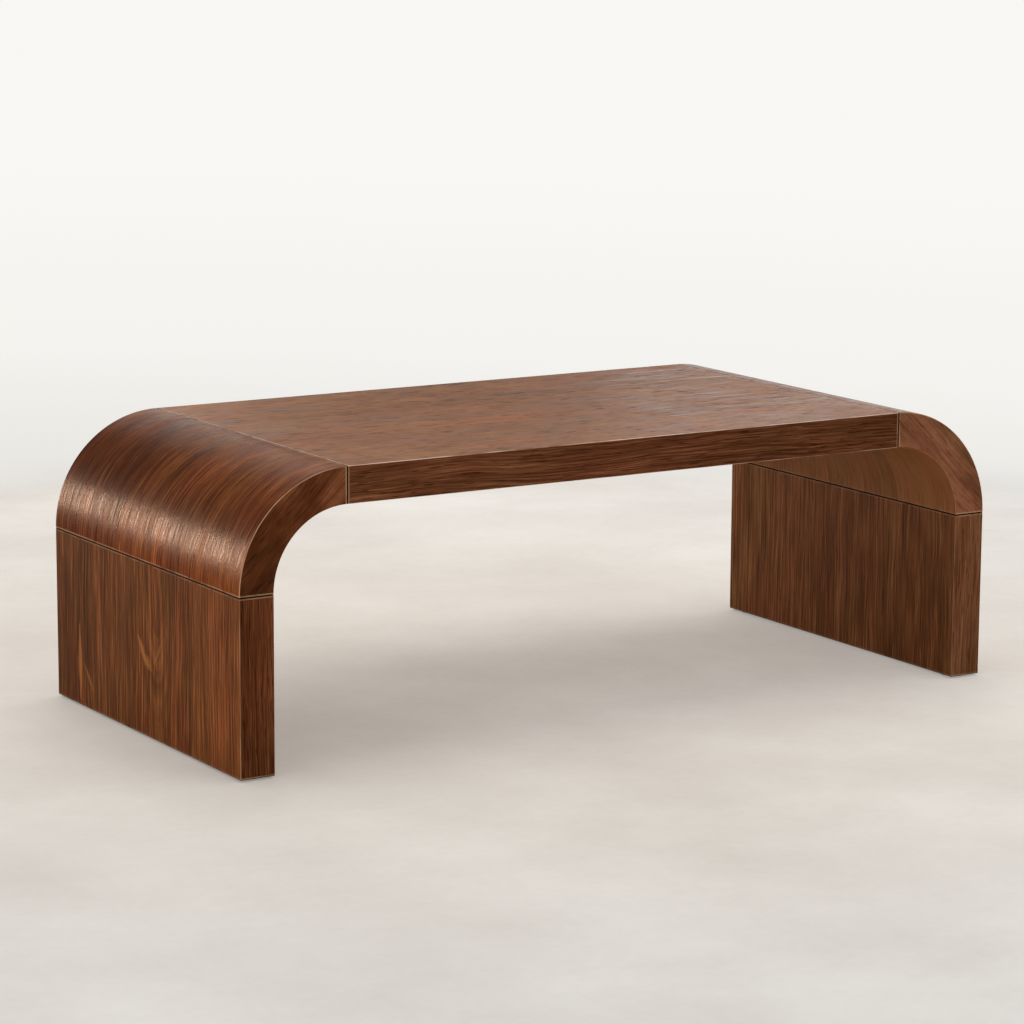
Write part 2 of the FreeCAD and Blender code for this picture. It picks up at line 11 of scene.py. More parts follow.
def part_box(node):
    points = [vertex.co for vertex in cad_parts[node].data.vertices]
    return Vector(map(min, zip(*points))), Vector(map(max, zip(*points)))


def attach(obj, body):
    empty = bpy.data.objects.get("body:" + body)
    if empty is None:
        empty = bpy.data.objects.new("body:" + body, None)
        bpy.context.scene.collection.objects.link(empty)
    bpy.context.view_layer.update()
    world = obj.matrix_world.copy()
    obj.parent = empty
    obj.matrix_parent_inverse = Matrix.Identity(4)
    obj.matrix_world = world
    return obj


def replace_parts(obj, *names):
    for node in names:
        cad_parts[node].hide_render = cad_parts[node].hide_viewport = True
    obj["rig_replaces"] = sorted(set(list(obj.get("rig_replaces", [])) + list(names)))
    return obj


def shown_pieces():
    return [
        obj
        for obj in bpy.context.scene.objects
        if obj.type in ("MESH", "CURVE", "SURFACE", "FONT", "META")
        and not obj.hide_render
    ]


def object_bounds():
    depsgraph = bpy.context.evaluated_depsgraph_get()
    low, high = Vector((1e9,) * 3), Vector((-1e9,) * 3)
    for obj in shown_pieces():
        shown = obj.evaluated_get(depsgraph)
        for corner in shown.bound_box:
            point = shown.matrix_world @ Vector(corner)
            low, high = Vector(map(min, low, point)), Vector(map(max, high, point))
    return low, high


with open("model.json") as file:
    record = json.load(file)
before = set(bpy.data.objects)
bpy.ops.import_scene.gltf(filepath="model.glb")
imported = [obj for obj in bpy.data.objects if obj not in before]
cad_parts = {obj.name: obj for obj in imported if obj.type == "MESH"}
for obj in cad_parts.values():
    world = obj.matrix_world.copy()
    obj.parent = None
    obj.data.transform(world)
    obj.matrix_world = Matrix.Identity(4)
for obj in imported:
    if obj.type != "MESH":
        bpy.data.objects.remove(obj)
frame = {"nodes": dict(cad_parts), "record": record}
cad_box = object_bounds()

# ---- sizes, all read from the frame --------------------------------------------------------------

HALF_DEPTH = cad_box[1].y
TABLE_TOP = cad_box[1].z
SEAM_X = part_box("top_upper_skin")[1].x  # where the top ends, and the corners' centres
SEAM_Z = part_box("right_leg_outer_skin")[1].z  # where the legs end, and the corners' centres
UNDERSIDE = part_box("top_lower_skin")[0].z
SKIN = TABLE_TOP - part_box("top_upper_skin")[0].z
SKIN_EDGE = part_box("top_upper_skin")[1].y  # where the skins meet the lippings
THICK = TABLE_TOP - UNDERSIDE
RADIUS = cad_box[1].x - SEAM_X
INNER_RADIUS = RADIUS - THICK
QUARTER = math.pi / 2
CORNER_RUN = QUARTER * (RADIUS - THICK / 2)  # along the middle of a corner's thickness
LEG_RUN = SEAM_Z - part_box("right_leg_outer_skin")[0].z

EASE = 0.0015  # every visible edge is rounded by this much
EASE_STEPS = 3
SHARP = math.radians(50)  # faces that meet at less than this are shaded as one
CORNER_SLICES = 60
SIDES = {"left": -1, "right": 1}
EDGES = {"front": -1, "back": 1}


# ---- where a point of a panel is -----------------------------------------------------------------
# Panel coordinates: s along the panel, away from the table's middle; y through the depth;
# t from the panel's inner face (0) to its outer face (THICK). Each function gives the place on
# the right half of the table, and how far the point lies along the grain.


def on_top(s, y, t):
    return Vector((s, y, UNDERSIDE + t)), s


def on_corner(s, y, t):
    """Near a seam s keeps its true length at every radius, so that eased edges stay even."""
    radius = INNER_RADIUS + t
    near = 2 * EASE
    if s < near:
        angle = s / radius
    elif s > CORNER_RUN - near:
        angle = QUARTER - (CORNER_RUN - s) / radius
    else:
        share = (s - near) / (CORNER_RUN - 2 * near)
        angle = near / radius + share * (QUARTER - 2 * near / radius)
    place = Vector((SEAM_X + radius * math.sin(angle), y, SEAM_Z + radius * math.cos(angle)))
    return place, SEAM_X + radius * angle


def on_leg(s, y, t):
    radius = INNER_RADIUS + t
    return Vector((SEAM_X + radius, y, SEAM_Z - s)), SEAM_X + radius * QUARTER + s


PANELS = {
    "top": (on_top, -SEAM_X, SEAM_X, 1),
    "corner": (on_corner, 0.0, CORNER_RUN, CORNER_SLICES),
    "leg": (on_leg, 0.0, LEG_RUN, 1),
}


# ---- pieces --------------------------------------------------------------------------------------


def facing(normal):
    """Which way a face of a block looks, as an axis (0 s, 1 y, 2 t) and a sign."""
    axis = max(range(3), key=lambda k: abs(normal[k]))
    return axis, 1 if normal[axis] > 0 else -1


def eased_block(low, high, hidden, slices):
    """A block in panel coordinates. Edges between two visible faces are rounded."""
    mesh = bmesh.new()
    bmesh.ops.create_cube(mesh, size=1)
    for vertex in mesh.verts:
        vertex.co = [a + (c + 0.5) * (b - a) for c, a, b in zip(vertex.co, low, high)]
    mesh.normal_update()
    shown = [
        edge for edge in mesh.edges
        if all(facing(face.normal) not in hidden for face in edge.link_faces)
    ]
    bmesh.ops.bevel(mesh, geom=shown, offset=EASE, offset_type="OFFSET", profile=0.5,
                    segments=EASE_STEPS, affect="EDGES", clamp_overlap=True, loop_slide=True)
    for step in range(1, slices):
        cut = low[0] + (high[0] - low[0]) * step / slices
        bmesh.ops.bisect_plane(mesh, geom=mesh.verts[:] + mesh.edges[:] + mesh.faces[:], dist=1e-7,
                               plane_co=(cut, 0, 0), plane_no=(1, 0, 0))
    mesh.normal_update()
    return mesh


def corner_chord(place):
    """Grain of a cheek runs straight, along the chord between its two seams."""
    x, z = place.x - SEAM_X, place.z - SEAM_Z
    return (x - z) / math.sqrt(2), (x + z) / math.sqrt(2)


def wooden_piece(node, panel, side, y_range, t_range, hidden, looks):
    """Veneered piece that stands for a CAD node. looks gives, by facing, its material, its seed,
    how much paler it is, and how much paler it gets per metre towards its far end."""
    place_of, s0, s1, slices = PANELS[panel]
    mesh = eased_block((s0, y_range[0], t_range[0]), (s1, y_range[1], t_range[1]), hidden, slices)
    grain = mesh.loops.layers.float_vector.new("grain")
    ends = mesh.loops.layers.float_vector.new("ends")
    sides = mesh.loops.layers.float_vector.new("sides")
    materials = []
    for face in mesh.faces:
        axis, sign = facing(face.normal)
        material, seed, shade, drift = looks.get((axis, sign)) or looks["rest"]
        if material not in materials:
            materials.append(material)
        face.material_index = materials.index(material)
        face.smooth = True
        for loop in face.loops:
            s, y, t = loop.vert.co
            place, along = place_of(s, y, t)
            if axis == 1 and panel == "corner":
                loop[grain] = (*corner_chord(place), seed)
            else:
                loop[grain] = (along, t if axis == 1 else y, seed)
            loop[ends] = (s - s0, s1 - s, shade)
            edges = (t, THICK - t) if axis == 1 else (HALF_DEPTH + abs(y), HALF_DEPTH - abs(y))
            loop[sides] = (*edges, drift)
    for edge in mesh.edges:
        edge.smooth = edge.calc_face_angle(0) < SHARP
    for vertex in mesh.verts:
        place = place_of(*vertex.co)[0]
        vertex.co = (place.x * side, place.y, place.z)
    bmesh.ops.recalc_face_normals(mesh, faces=mesh.faces)
    data = bpy.data.meshes.new(f"veneered_{node}")
    mesh.to_mesh(data)
    mesh.free()
    piece = bpy.data.objects.new(f"veneered_{node}", data)
    bpy.context.scene.collection.objects.link(piece)
    for material in materials:
        data.materials.append(material)
    piece.modifiers.new("flat_faces", "WEIGHTED_NORMAL").keep_sharp = True
    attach(piece, "root")
    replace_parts(piece, node)
    return piece


# ---- material nodes ------------------------------------------------------------------------------


class Nodes:
    """Short calls that add nodes to a material and wire them up."""

    def __init__(self, name):
        self.material = bpy.data.materials.new(name)
        self.material.use_nodes = True
        self.tree = self.material.node_tree
        self.tree.nodes.clear()

    def add(self, kind, inputs=(), **settings):
        node = self.tree.nodes.new(f"ShaderNode{kind}")
        for name, value in settings.items():
            setattr(node, name, value)
        for socket, value in dict(inputs).items():
            self.feed(node.inputs[socket], value)
        return node

    def feed(self, socket, value):
        if isinstance(value, bpy.types.NodeSocket):
            self.tree.links.new(value, socket)
        else:
            socket.default_value = value

    def attribute(self, name):
        return self.add("Attribute", attribute_name=name).outputs["Vector"]

    def parts(self, vector):
        return self.add("SeparateXYZ", {0: vector}).outputs

    def join(self, x, y, z):
        return self.add("CombineXYZ", {0: x, 1: y, 2: z}).outputs[0]

    def math(self, operation, *values, clamp=False):
        node = self.add("Math", dict(enumerate(values)), operation=operation, use_clamp=clamp)
        return node.outputs[0]

    def scaled(self, vector, x, y, z):
        return self.add("VectorMath", {0: vector, 1: (x, y, z)}, operation="MULTIPLY").outputs[0]

    def length(self, vector):
        return self.add("VectorMath", {0: vector}, operation="LENGTH").outputs["Value"]

    def noise(self, vector, detail=2.0, rough=0.5):
        inputs = {"Vector": vector, "Scale": 1.0, "Detail": detail, "Roughness": rough}
        return self.add("TexNoise", inputs).outputs["Fac"]

    def smooth(self, value, start, end):
        """0 at start, 1 at end, eased between them."""
        inputs = {"Value": value, "From Min": start, "From Max": end}
        return self.add("MapRange", inputs, interpolation_type="SMOOTHSTEP").outputs["Result"]

    def mix(self, factor, a, b, blend="MIX"):
        inputs = {0: factor, 6: a, 7: b}  # the sockets that a colour mix uses
        return self.add("Mix", inputs, data_type="RGBA", blend_type=blend).outputs[2]

    def ramp(self, value, stops):
        node = self.add("ValToRGB", {"Fac": value})
        elements = node.color_ramp.elements
        while len(elements) < len(stops):
            elements.new(1.0)
        for element, (place, colour) in zip(elements, stops):
            element.position = place
            element.color = (*colour, 1.0)
        return node.outputs["Color"]

    def surface(self, colour, roughness, height, depth, constants=()):
        """End with a Principled shader, its plain numbers set on its own sockets."""
        bump = self.add("Bump", {"Height": height, "Strength": 1.0, "Distance": depth})
        inputs = {"Base Color": colour, "Roughness": roughness, "Normal": bump.outputs[0]}
        shader = self.add("BsdfPrincipled", {**inputs, **dict(constants)})
        self.add("OutputMaterial", {"Surface": shader.outputs[0]})
        return self.material


# ---- walnut --------------------------------------------------------------------------------------

# Pale arris colours: part wear through the stain, part painted glint where the eased edges catch
# the light; the top's is the brighter painted glint.
PALE_ARRIS_WEAR_AND_GLINT = (0.50, 0.31, 0.19)
TOP_ARRIS_GLINT_AND_WEAR = (0.66, 0.50, 0.42)
# Dark colour in the seam grooves: grime and painted shade in the recess.
GROOVE_GRIME_AND_SHADE = (0.016, 0.007, 0.004)
GROOVE_REACH = (0.0014, 0.0009)  # from a seam: where its dark line of grime and painted shade ends and where it is full
END_WEAR_AND_GLINT_REACH = (0.0036, 0.0025)  # the same for the pale wear and painted glint beside the groove
ARRIS_WEAR_AND_GLINT_REACH = (0.0015, 0.0008)  # and for the pale wear and painted glint on the long arrises
RAGGED = 0.0010  # how far the fibres shift the edge of the wear
LEAF_SEAMS = (0.094, -0.155)  # where two veneer leaves meet, through the depth
LEAF_SHIFT = 3.7  # from one leaf's pattern to the next one's
OLIVE_CAST, RED_CAST = (0.98, 1.02, 0.94), (1.04, 0.95, 0.95)  # patches of the veneer lean so
GOLDEN_SHEEN_CAST = (1.85, 1.65, 1.2)  # painted golden sheen at the lower end of the left bend, below its highlight
GOLDEN_SHEEN_REACH = (0.075, 0.02)  # from the lower seam: where it starts and where it is full
SHEEN_TINT = (1.0, 0.8, 0.66)
RELIEF = 0.0002  # height of the grain

LEG_TOP = SEAM_X + RADIUS * QUARTER  # how far along the grain a leg's face starts
FLAMES = (  # pale flames in the left leg: two ends as (below the seam, depth), width, strength
    ((0.134, 0.221), (0.249, 0.218), 0.012, 0.9),
    ((0.190, 0.206), (0.228, 0.174), 0.007, 0.6),
    ((0.113, 0.018), (0.150, -0.007), 0.013, 1.0),
    ((0.135, 0.001), (0.156, -0.021), 0.016, 0.8),
    ((0.146, -0.032), (0.101, -0.064), 0.007, 0.5),
)
FLAME = (0.32, 0.115, 0.030)
FLAME_WOBBLE = 0.008  # how far the grain's wander moves a flame's edge
ARCHES = (0.155, -0.024)  # middle of the arched growth rings, as below the seam and depth
ARCH_REACH = (0.115, 0.075)
ARCH_RINGS = 210.0  # per metre, out from the upper end of their axis
ARCH_RIPPLES = 4.0  # per metre, along the grain
ARCH_SLOPE = 0.32  # how flat the arches are


def flame_mask(n, spot, start, end, width, strength):
    """1 on the line between two points, fading over its width and towards its ends."""
    start, end = (Vector((LEG_TOP + a, b, 0)) for a, b in (start, end))
    line = end - start
    from_start = n.add("VectorMath", {0: spot, 1: start}, operation="SUBTRACT").outputs[0]
    dot = n.add("VectorMath", {0: from_start, 1: line / line.length_squared},
                operation="DOT_PRODUCT")
    share = n.math("ADD", dot.outputs["Value"], 0.0, clamp=True)
    nearest = n.add("VectorMath", {0: line, "Scale": share}, operation="SCALE").outputs[0]
    away = n.add("VectorMath", {0: from_start, 1: nearest}, operation="DISTANCE").outputs["Value"]
    taper = n.math("MULTIPLY_ADD", n.math("ABSOLUTE", n.math("SUBTRACT", share, 0.5)), -1.6, 1.0)
    return n.math("MULTIPLY", n.smooth(away, n.math("MULTIPLY", taper, width), 0.0), strength)


def arch_rings(n, along, across, seed):
    """Faint nested arches, open towards the seam, from -0.5 to 0.5 around their middle."""
    down = n.math("SUBTRACT", along, LEG_TOP + ARCHES[0])
    out = n.math("SUBTRACT", across, ARCHES[1])
    reach = n.join(n.math("DIVIDE", down, ARCH_REACH[0]), n.math("DIVIDE", out, ARCH_REACH[1]), 0.0)
    inside = n.smooth(n.length(reach), 1.0, 0.3)
    rise = n.math("MULTIPLY_ADD", down, ARCH_SLOPE, ARCH_REACH[0] * ARCH_SLOPE)
    ring = n.length(n.join(n.math("MAXIMUM", rise, 0.0), out, 0.0))
    ring = n.math("MULTIPLY", ring, ARCH_RINGS)
    rings = n.noise(n.join(ring, n.math("MULTIPLY", along, ARCH_RIPPLES), seed), 2.0)
    return n.math("MULTIPLY", n.math("SUBTRACT", rings, 0.5), inside)


def walnut(name, tones, figure, streaks, fibres, pores=0.6, gloss=0.010, rough=0.36, grit=0.45,
           fineness=1.0, flamed=False, golden_sheen=False, leaf_step=0.08, wear_and_glint=0.8, clouds=0.15,
           arris_wear_and_glint=PALE_ARRIS_WEAR_AND_GLINT):
    """Veneer from growth bands, streaks, fibres and pores, with a pale mark along its arrises and
    seams that is part wear, part painted glint, and a dark line in its seam grooves that is grime
    and painted shade.
    figure, streaks, fibres, pores and clouds are how strongly each shows. grit is how much the
    fibres vary in roughness; fineness packs more of them side by side; leaf_step is how much
    darker each leaf is than the one in front of it."""
    n = Nodes(name)
    along, across, seed = n.parts(n.attribute("grain"))
    end_a, end_b, shade = n.parts(n.attribute("ends"))
    side_a, side_b, drift = n.parts(n.attribute("sides"))
    leaf = n.math("ADD", *[n.math("GREATER_THAN", across, seam) for seam in LEAF_SEAMS])
    leaf_seed = n.math("MULTIPLY_ADD", leaf, LEAF_SHIFT, seed)
    raw = n.join(along, across, leaf_seed)
    flow = n.noise(n.scaled(raw, 3, 8, 1), 2.0)
    wander = n.noise(n.scaled(raw, 28, 50, 1), 1.0)
    bent = n.math("MULTIPLY_ADD", flow, 0.03, across)
    bent = n.math("MULTIPLY_ADD", wander, 0.0022, bent)
    lie = n.join(along, bent, leaf_seed)

    def layer(length_scale, width_scale, detail=2.0, rough=0.5):  # rough is the noise's own
        """A field of streaks, from -0.5 to 0.5, with so many per metre along and across."""
        field = n.noise(n.scaled(lie, length_scale, width_scale * fineness, 1), detail, rough)
        return n.math("SUBTRACT", field, 0.5)

    cloud = n.math("SUBTRACT", n.noise(n.scaled(raw, 28, 45, 1), 3.0, 0.6), 0.5)
    mottle = layer(7, 22)
    band = layer(2, 45, 3.0)
    streak = layer(2.6, 230, 3.0, 0.6)
    fibre = layer(8, 400, 2.0, 0.7)
    pore = n.smooth(layer(30, 420, 1.0), 0.11, 0.17)
    spark = n.smooth(layer(14, 360, 1.0), 0.14, 0.2)

    tone = n.math("MULTIPLY_ADD", drift, end_a, n.math("ADD", shade, 0.5))
    for field, share in ((cloud, clouds), (mottle, 0.5 * figure), (band, 0.3 * figure),
                         (streak, 0.8 * streaks), (fibre, 1.8 * fibres)):
        tone = n.math("MULTIPLY_ADD", field, share, tone)
    tone = n.math("MULTIPLY_ADD", spark, 0.18 * fibres, tone)
    tone = n.math("MULTIPLY_ADD", n.math("SUBTRACT", 1.0, leaf), leaf_step, tone)
    tone = n.math("MULTIPLY_ADD", pore, -0.3 * pores, tone)
    if flamed:
        tone = n.math("MULTIPLY_ADD", arch_rings(n, along, bent, leaf_seed), 0.9, tone)
    colour = n.ramp(tone, tones)
    ruddy = n.smooth(n.noise(n.scaled(lie, 4, 16, 1), 2.0), 0.35, 0.65)
    cast = n.mix(ruddy, (*OLIVE_CAST, 1.0), (*RED_CAST, 1.0))
    colour = n.mix(1.0, colour, cast, "MULTIPLY")
    if flamed:
        wobbly = n.math("MULTIPLY_ADD", n.math("SUBTRACT", wander, 0.5), FLAME_WOBBLE, across)
        wavy = n.join(along, wobbly, 0.0)
        for start, end, width, strength in FLAMES:
            mask = flame_mask(n, wavy, start, end, width, strength)
            mask = n.math("MULTIPLY", mask, n.math("MULTIPLY_ADD", fibre, 1.0, 0.95), clamp=True)
            colour = n.mix(mask, colour, (*FLAME, 1.0))
    # painted golden sheen at the lower end of the left bend
    if golden_sheen:
        low = n.smooth(end_b, *GOLDEN_SHEEN_REACH)
        colour = n.mix(low, colour, (*GOLDEN_SHEEN_CAST, 1.0), "MULTIPLY")

    # pale mark of wear and painted glint at the seams and arrises; outer arrises get more of it
    # than inner ones
    end = n.math("MINIMUM", end_a, end_b)
    side = n.math("MINIMUM", n.math("MULTIPLY", side_a, 1.8), side_b)
    ragged = n.math("MULTIPLY", fibre, RAGGED)
    patchy = n.smooth(n.noise(n.scaled(lie, 18, 40, 1), 2.0), 0.25, 0.6)
    for distance, reach, strength in ((side, ARRIS_WEAR_AND_GLINT_REACH, wear_and_glint), (end, END_WEAR_AND_GLINT_REACH, 0.6 * wear_and_glint)):
        wear_and_glint_mask = n.math("MULTIPLY", n.smooth(n.math("ADD", distance, ragged), *reach), patchy)
        colour = n.mix(n.math("MULTIPLY", wear_and_glint_mask, strength), colour, (*arris_wear_and_glint, 1.0))
    # dark line of grime and painted shade in the seam grooves
    groove_grime_and_shade = n.smooth(end, *GROOVE_REACH)
    colour = n.mix(groove_grime_and_shade, colour, (*GROOVE_GRIME_AND_SHADE, 1.0))

    roughness = n.math("MULTIPLY_ADD", fibre, grit, rough)
    roughness = n.math("MULTIPLY_ADD", streak, 0.3, roughness)
    roughness = n.math("MULTIPLY_ADD", pore, 0.15, roughness)
    roughness = n.math("MULTIPLY_ADD", groove_grime_and_shade, 0.4, roughness, clamp=True)
    relief = n.math("MULTIPLY_ADD", streak, 0.6, fibre)
    relief = n.math("MULTIPLY_ADD", pore, -0.15, relief)
    return n.surface(colour, roughness, relief, RELIEF,
                     {"Specular IOR Level": gloss, "Specular Tint": (*SHEEN_TINT, 1.0)})


# Each list goes from the darkest to the palest tone of a veneer.
# The top's tones are paler than the other faces' partly as painted sheen.
TONES_TOP_PALED_BY_SHEEN = [(0.0, (0.071, 0.0242, 0.0077)), (0.4, (0.143, 0.0500, 0.0158)),
             (0.65, (0.185, 0.068, 0.0225)), (1.0, (0.272, 0.111, 0.043))]
TONES_BEND = [(0.0, (0.028, 0.006, 0.0015)), (0.4, (0.066, 0.015, 0.003)),
              (0.65, (0.110, 0.030, 0.0075)), (1.0, (0.25, 0.086, 0.027))]
TONES_LEG = [(0.0, (0.052, 0.0168, 0.0043)), (0.4, (0.097, 0.0282, 0.0070)),
             (0.65, (0.155, 0.0465, 0.0122)), (1.0, (0.29, 0.095, 0.029))]
TONES_SOFFIT = [(0.0, (0.050, 0.0156, 0.0042)), (0.4, (0.109, 0.037, 0.0098)),
                (0.65, (0.156, 0.055, 0.0165)), (1.0, (0.26, 0.106, 0.036))]
TONES_INNER = [(0.0, (0.053, 0.0175, 0.0056)), (0.4, (0.098, 0.033, 0.0106)),
               (0.65, (0.142, 0.051, 0.0180)), (1.0, (0.24, 0.095, 0.038))]
TONES_EDGE = [(0.0, (0.030, 0.008, 0.003)), (0.4, (0.078, 0.024, 0.0085)),
              (0.65, (0.122, 0.042, 0.017)), (1.0, (0.22, 0.086, 0.038))]
TONES_LIPPING = [(0.0, (0.033, 0.0095, 0.0040)), (0.4, (0.080, 0.0270, 0.0110)),
                 (0.65, (0.126, 0.047, 0.021)), (1.0, (0.23, 0.094, 0.045))]
# Paler and greyer than the edge tones: part a lighter veneer, part painted reflection haze.
TONES_PALE_EDGE_AND_HAZE = [(0.0, (0.038, 0.012, 0.005)), (0.4, (0.086, 0.031, 0.014)),
                   (0.65, (0.138, 0.055, 0.027)), (1.0, (0.24, 0.105, 0.055))]

top_veneer_painted_sheen = walnut("walnut_top_face_painted_sheen", TONES_TOP_PALED_BY_SHEEN, 1.1, 1.5, 1.4, 1.7, gloss=0.022, rough=0.43,
                    grit=0.7, fineness=0.55, wear_and_glint=1.0, clouds=0.4, arris_wear_and_glint=TOP_ARRIS_GLINT_AND_WEAR)
bend_veneers = [
    walnut(f"walnut_{side}_corner", TONES_BEND, 1.3, 0.55, 0.9, gloss=0.007, rough=0.32, grit=1.0,
           fineness=1.2, golden_sheen=side == "left", clouds=0.45)
    for side in SIDES
]
soffit_veneer = walnut("walnut_corner_inside", TONES_SOFFIT, 0.9, 0.25, 0.35, gloss=0.03, wear_and_glint=0.3)
leg_veneer = walnut("walnut_leg_face", TONES_LEG, 1.1, 1.0, 1.3, wear_and_glint=0.35)
inner_veneer = walnut("walnut_leg_inside", TONES_INNER, 1.7, 0.5, 1.3, gloss=0.014, fineness=1.2,
                      leaf_step=-0.04, wear_and_glint=0.3)
flamed_veneer = walnut("walnut_flamed_leg", TONES_LEG, 1.1, 1.0, 1.3, flamed=True, wear_and_glint=0.35,
                       leaf_step=0.12)
top_edge = walnut("walnut_top_edge", TONES_LIPPING, 0.9, 0.4, 0.9, 1.2, wear_and_glint=0.6, clouds=0.25,
                  fineness=1.2)
dark_edge = walnut("walnut_dark_edge", TONES_EDGE, 1.3, 0.5, 0.8, 1.0, wear_and_glint=0.6, clouds=0.3)
pale_hazed_edge = walnut("walnut_pale_edge_painted_haze", TONES_PALE_EDGE_AND_HAZE, 1.1, 0.35, 0.7, 1.0, wear_and_glint=0.6, clouds=0.3)
dark_cheek = walnut("walnut_dark_cheek", TONES_EDGE, 1.1, 0.25, 0.4, 0.8, clouds=0.9)
pale_hazed_cheek = walnut("walnut_pale_cheek_painted_haze", TONES_PALE_EDGE_AND_HAZE, 1.1, 0.3, 0.45, 0.8, clouds=0.7)

OUTER, INNER = (2, 1), (2, -1)  # as facing() gives them
BOTH_SIDES = {(1, 1), (1, -1)}


def dress_panel(prefix, panel, side, faces, names, seed, shades, drifts):
    """The two skins and two lippings, or cheeks, of one panel. faces are the veneers of the
    outer face, the inner face and the edges, and shades and drifts go with them."""
    outer_name, inner_name, edge_name = names
    outer_look = (faces[0], seed, shades[0], drifts[0])
    inner_look = (faces[1], seed + 1, shades[1], drifts[1])
    skin_range = (-SKIN_EDGE, SKIN_EDGE)
    wooden_piece(f"{prefix}_{outer_name}", panel, side, skin_range, (THICK - SKIN, THICK),
                 BOTH_SIDES | {INNER}, {"rest": outer_look})
    wooden_piece(f"{prefix}_{inner_name}", panel, side, skin_range, (0.0, SKIN),
                 BOTH_SIDES | {OUTER}, {"rest": inner_look})
    for index, (name, sign) in enumerate(EDGES.items()):
        looks = {OUTER: outer_look, INNER: inner_look,
                 "rest": (faces[2], seed + 2 + index, shades[2], drifts[2])}
        y_range = sorted((SKIN_EDGE * sign, HALF_DEPTH * sign))
        wooden_piece(f"{prefix}_{name}_{edge_name}", panel, side, y_range, (0.0, THICK),
                     {(1, -sign)}, looks)


# The top's upper face is paler towards its left end (shade 0.06, drift -0.10): painted sheen.
dress_panel("top", "top", 1, (top_veneer_painted_sheen, top_veneer_painted_sheen, top_edge),
            ("upper_skin", "lower_skin", "lipping"), 0.0, (0.06, 0, 0.07), (-0.10, 0.0, -0.12))
for index, (name, sign) in enumerate(SIDES.items()):
    outside = (flamed_veneer, leg_veneer)[index]
    # the right side's lippings and cheeks: part lighter veneer, part painted reflection haze
    edge, cheek = ((dark_edge, dark_cheek), (pale_hazed_edge, pale_hazed_cheek))[index]
    # Each bend is paler near the top seam and darker towards the leg (shade 0.14, drift -1.0): part
    # its own tone, part painted sheen.
    dress_panel(f"{name}_corner", "corner", sign, (bend_veneers[index], soffit_veneer, cheek),
                ("outer_skin", "inner_skin", "cheek"), 20.0 + 10 * index,
                (0.14, 0.34, (0.30, 0.36)[index]), (-1.0, 0.0, (-2.2, 0.0)[index]))
    dress_panel(f"{name}_leg", "leg", sign, (outside, inner_veneer, edge),
                ("outer_skin", "inner_skin", "lipping"), 50.0 + 10 * index,
                (0, 0.16, (0, 0.12)[index]), (0.0, -0.7, 0.0))


# ---- what carries the veneer: core, tongues and hardware -----------------------------------------


def board(name, dark, light, stretch):
    n = Nodes(name)
    spot = n.add("TexCoord").outputs["Object"]
    fibre = n.noise(n.scaled(spot, *stretch), 4.0, 0.6)
    patch = n.noise(n.scaled(spot, 9, 9, 9), 2.0)
    colour = n.ramp(n.math("MULTIPLY_ADD", patch, 0.5, n.math("MULTIPLY", fibre, 0.6)),
                    [(0.25, dark), (0.8, light)])
    return n.surface(colour, n.math("MULTIPLY_ADD", fibre, 0.2, 0.6), fibre, RELIEF)


def metal(name, dark, light, roughness):
    n = Nodes(name)
    spot = n.add("TexCoord").outputs["Object"]
    bloom = n.noise(n.scaled(spot, 260, 260, 260), 3.0)
    scratch = n.noise(n.scaled(spot, 90, 2200, 2200), 2.0)
    colour = n.ramp(bloom, [(0.3, dark), (0.7, light)])
    rough = n.math("MULTIPLY_ADD", scratch, 0.2, roughness)
    return n.surface(colour, rough, scratch, 0.00002, {"Metallic": 1.0})


def nylon(name):
    n = Nodes(name)
    spot = n.add("TexCoord").outputs["Object"]
    mottle = n.noise(n.scaled(spot, 700, 700, 700), 3.0)
    colour = n.ramp(mottle, [(0.3, (0.012, 0.011, 0.010)), (0.7, (0.03, 0.028, 0.026))])
    return n.surface(colour, n.math("MULTIPLY_ADD", mottle, 0.2, 0.4), mottle, 0.00003)


CARRIED = {
    "core_board": board("core_blockboard", (0.30, 0.18, 0.09), (0.55, 0.38, 0.22), (12, 400, 400)),
    "tongue_ply": board("tongue_plywood", (0.35, 0.23, 0.13), (0.62, 0.47, 0.30), (900, 30, 900)),
    "zinc_steel": metal("zinc_steel", (0.42, 0.43, 0.45), (0.66, 0.67, 0.68), 0.25),
    "insert_brass": metal("insert_brass", (0.50, 0.34, 0.12), (0.78, 0.58, 0.28), 0.25),
    "glide_nylon": nylon("glide_nylon"),
}
shown_by = {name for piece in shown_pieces() for name in piece.get("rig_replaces", [])}
for part in frame["record"]["subparts"]:
    if part["node"] not in shown_by:
        node_data = frame["nodes"][part["node"]].data
        node_data.materials.clear()
        node_data.materials.append(CARRIED[part["material_slot"]])


# ---- floor, light and camera ---------------------------------------------------------------------

FLOOR_REACH = 60.0
FLOOR_STEPS = 96
FADE = (1.75, 2.35)  # the floor turns into the backdrop between these radii
BACKDROP = [(0.0, (0.82, 0.80, 0.765)), (0.12, (0.90, 0.893, 0.86)), (0.5, (0.945, 0.936, 0.905))]
BACKDROP_DEPTH = 16.0  # how far the backdrop's list of colours reaches
BACKDROP_LEAN = 0.4  # share of x that counts as distance, so that the right side is paler: painted light
FAR_CAST, FAR = (0.88, 0.985, 1.09), (0.5, 1.6)  # the floor is less warm between these radii
LEFT_PAINTED_SHADE, RIGHT_PAINTED_LIGHT = (0.96, 0.97, 0.98), (1.15, 1.18, 1.21)  # painted light: the floor as seen is a little darker on the left and paler towards the right
CAST_REACH = (-1.0, 1.0)
CAST_LEAN = -0.4  # share of y that counts with x
SHADOW_FILL = 0.32  # how much of the floor's colour shows even in full shade


